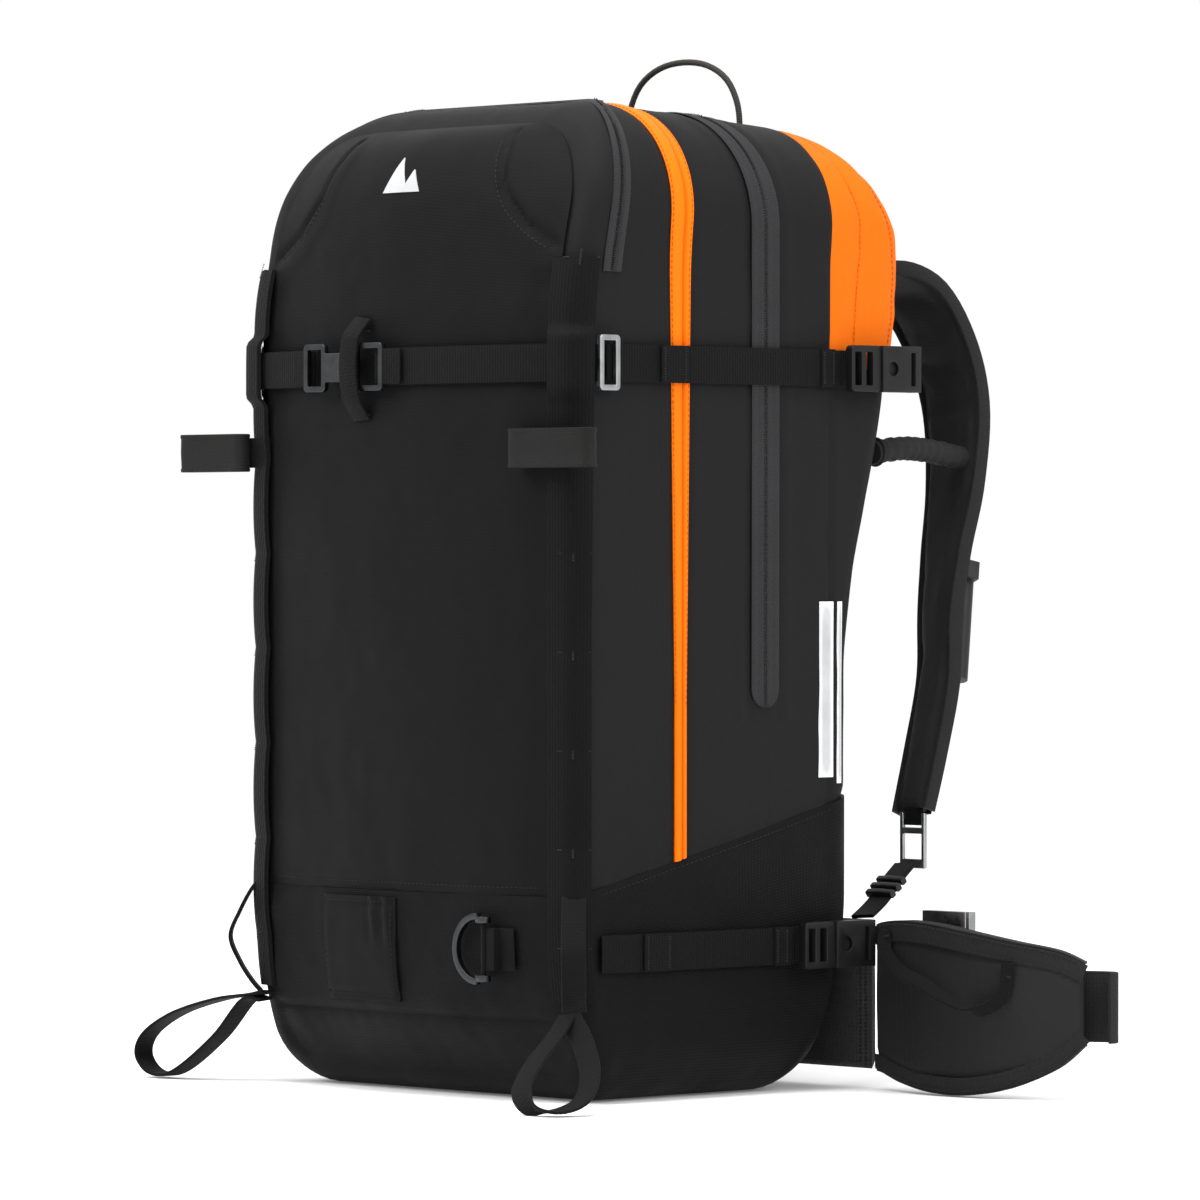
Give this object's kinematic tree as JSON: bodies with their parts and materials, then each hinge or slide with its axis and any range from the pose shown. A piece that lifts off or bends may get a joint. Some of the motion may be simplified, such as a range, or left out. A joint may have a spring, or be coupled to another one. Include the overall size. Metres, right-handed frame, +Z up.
{
  "type": "avalanche airbag backpack",
  "caption": "Ski touring backpack with a folded airbag in its crown, a gas cartridge and trigger, compression straps, padded hip belt and shoulder straps.",
  "frame": {"origin": "on the floor under the middle of the bag, on the flat base panel", "axes": "+Z up, +X towards the wearer's right, +Y towards the wearer, so the bag's front face looks along -Y"},
  "size_m": [0.676, 0.4653, 0.6553],
  "materials": {
    "shell_fabric": "matte",
    "trim_webbing": "matte",
    "orange_fabric": "matte",
    "back_mesh": "matte",
    "buckle_plastic": "satin",
    "bright_metal": "satin",
    "dark_metal": "satin",
    "frame_plastic": "satin",
    "airbag_fabric": "matte",
    "cartridge_steel": "satin",
    "grip_plastic": "satin",
    "red_fabric": "matte"
  },
  "bodies": {
    "bag": {"base_panel": "shell_fabric", "boot": "shell_fabric", "front_panel": "shell_fabric", "pick_patch": "shell_fabric", "pocket_divider": "shell_fabric", "front_gusset": "shell_fabric", "pocket_zip": "trim_webbing", "main_zip": "orange_fabric", "side_gusset": "shell_fabric", "side_zip": "trim_webbing", "rear_gusset": "shell_fabric", "airbag_cover": "orange_fabric", "back_panel": "back_mesh", "lumbar_pad": "back_mesh", "frame_sheet": "frame_plastic", "frame_stays": "bright_metal", "folded_airbag": "airbag_fabric", "inflation_unit": "buckle_plastic", "cable_housing": "buckle_plastic", "cable_sleeve": "shell_fabric", "daisy_chains": "trim_webbing", "front_strap": "trim_webbing", "keeper_loop": "trim_webbing", "strap_rings": "bright_metal", "upper_side_straps": "trim_webbing", "lower_side_straps": "trim_webbing", "buckle_sockets": "buckle_plastic", "ring_tab": "trim_webbing", "ski_loops": "trim_webbing", "small_loops": "trim_webbing", "red_tab": "red_fabric", "haul_loop": "trim_webbing", "strap_anchors": "trim_webbing"},
    "pocket_flap": {"pocket_flap": "shell_fabric"},
    "pocket_zip_slider": {"pocket_zip_slider": "bright_metal"},
    "main_zip_slider": {"main_zip_slider": "bright_metal"},
    "side_zip_slider": {"side_zip_slider": "bright_metal"},
    "front_hook": {"front_hook": "dark_metal"},
    "d_ring": {"d_ring": "dark_metal"},
    "tool_holder_left": {"tool_holder_left": "trim_webbing"},
    "tool_holder_right": {"tool_holder_right": "trim_webbing"},
    "upper_buckle_left": {"upper_buckle_left": "buckle_plastic"},
    "upper_buckle_right": {"upper_buckle_right": "buckle_plastic"},
    "lower_buckle_left": {"lower_buckle_left": "buckle_plastic"},
    "lower_buckle_right": {"lower_buckle_right": "buckle_plastic"},
    "hip_wing_left": {"hip_wing_left": "shell_fabric", "gear_loop_left": "trim_webbing", "belt_webbing_left": "trim_webbing"},
    "hip_wing_right": {"hip_wing_right": "shell_fabric", "gear_loop_right": "trim_webbing", "belt_webbing_right": "trim_webbing"},
    "belt_buckle_left": {"belt_buckle_plug": "bright_metal"},
    "belt_buckle_right": {"belt_buckle_socket": "bright_metal"},
    "shoulder_strap_left": {"shoulder_strap_left": "shell_fabric", "strap_hook_left": "bright_metal"},
    "shoulder_strap_right": {"shoulder_strap_right": "shell_fabric", "strap_hook_right": "bright_metal"},
    "trigger_handle": {"trigger_handle": "grip_plastic"},
    "trigger_pin": {"trigger_pin": "bright_metal"},
    "gas_cartridge": {"gas_cartridge": "cartridge_steel"}
  },
  "joints": [
    {"name": "pocket_flap_fold", "type": "hinge", "parent": "bag", "child": "pocket_flap", "pos_m": [0, -0.13804, 0.52], "axis": [1, 0, 0], "range_deg": [0, 85]},
    {"name": "pocket_zip_pull", "type": "slide", "parent": "bag", "child": "pocket_zip_slider", "axis": [0, 0, 1], "range_m": [0, 0.02]},
    {"name": "main_zip_pull", "type": "slide", "parent": "bag", "child": "main_zip_slider", "axis": [0, 0, 1], "range_m": [0, 0.21]},
    {"name": "side_zip_pull", "type": "slide", "parent": "bag", "child": "side_zip_slider", "axis": [0, 0, 1], "range_m": [0, 0.14]},
    {"name": "front_hook_slide", "type": "slide", "parent": "bag", "child": "front_hook", "axis": [-1, 0, 0], "range_m": [0, 0.015]},
    {"name": "d_ring_swing", "type": "hinge", "parent": "bag", "child": "d_ring", "pos_m": [0.084, -0.13875, 0.094], "axis": [0, 0, 1], "range_deg": [0, 120]},
    {"name": "tool_holder_left_swing", "type": "hinge", "parent": "bag", "child": "tool_holder_left", "pos_m": [-0.141, -0.1365, 0.4], "axis": [0, 0, 1], "range_deg": [0, 80]},
    {"name": "tool_holder_right_swing", "type": "hinge", "parent": "bag", "child": "tool_holder_right", "pos_m": [0.106, -0.1365, 0.4], "axis": [0, 0, -1], "range_deg": [0, 80]},
    {"name": "upper_buckle_left_release", "type": "slide", "parent": "bag", "child": "upper_buckle_left", "axis": [0, -1, 0], "range_m": [0, 0.018]},
    {"name": "lower_buckle_left_release", "type": "slide", "parent": "bag", "child": "lower_buckle_left", "axis": [0, -1, 0], "range_m": [0, 0.018]},
    {"name": "upper_buckle_right_release", "type": "slide", "parent": "bag", "child": "upper_buckle_right", "axis": [0, -1, 0], "range_m": [0, 0.018]},
    {"name": "lower_buckle_right_release", "type": "slide", "parent": "bag", "child": "lower_buckle_right", "axis": [0, -1, 0], "range_m": [0, 0.018]},
    {"name": "hip_wing_left_wrap", "type": "hinge", "parent": "bag", "child": "hip_wing_left", "pos_m": [-0.165, 0.128, 0.057], "axis": [0, 0, -1], "range_deg": [0, 80]},
    {"name": "belt_buckle_left_swing", "type": "hinge", "parent": "hip_wing_left", "child": "belt_buckle_left", "pos_m": [-0.237, 0.133, 0.071], "axis": [0, 0, 1], "range_deg": [0, 110]},
    {"name": "shoulder_strap_left_lift", "type": "hinge", "parent": "bag", "child": "shoulder_strap_left", "pos_m": [-0.07, 0.17208, 0.505], "axis": [1, 0, 0], "range_deg": [0, 35]},
    {"name": "hip_wing_right_wrap", "type": "hinge", "parent": "bag", "child": "hip_wing_right", "pos_m": [0.165, 0.128, 0.057], "axis": [0, 0, 1], "range_deg": [0, 80]},
    {"name": "belt_buckle_right_swing", "type": "hinge", "parent": "hip_wing_right", "child": "belt_buckle_right", "pos_m": [0.237, 0.133, 0.071], "axis": [0, 0, -1], "range_deg": [0, 110]},
    {"name": "shoulder_strap_right_lift", "type": "hinge", "parent": "bag", "child": "shoulder_strap_right", "pos_m": [0.07, 0.17208, 0.505], "axis": [1, 0, 0], "range_deg": [0, 35]},
    {"name": "trigger_pull", "type": "slide", "parent": "shoulder_strap_right", "child": "trigger_handle", "axis": [0.2113, -0.3018, -0.9297], "range_m": [0, 0.02]},
    {"name": "trigger_pin_pull", "type": "slide", "parent": "bag", "child": "trigger_pin", "axis": [1, 0, 0], "range_m": [0, 0.02]},
    {"name": "cartridge_screw", "type": "hinge", "parent": "bag", "child": "gas_cartridge", "pos_m": [-0.04, 0.072, 0.3], "axis": [0, 0, 1], "continuous": true}
  ],
  "couplings": [
    {"joint": "trigger_pin_pull", "follows": "trigger_pull", "ratio": 1}
  ]
}
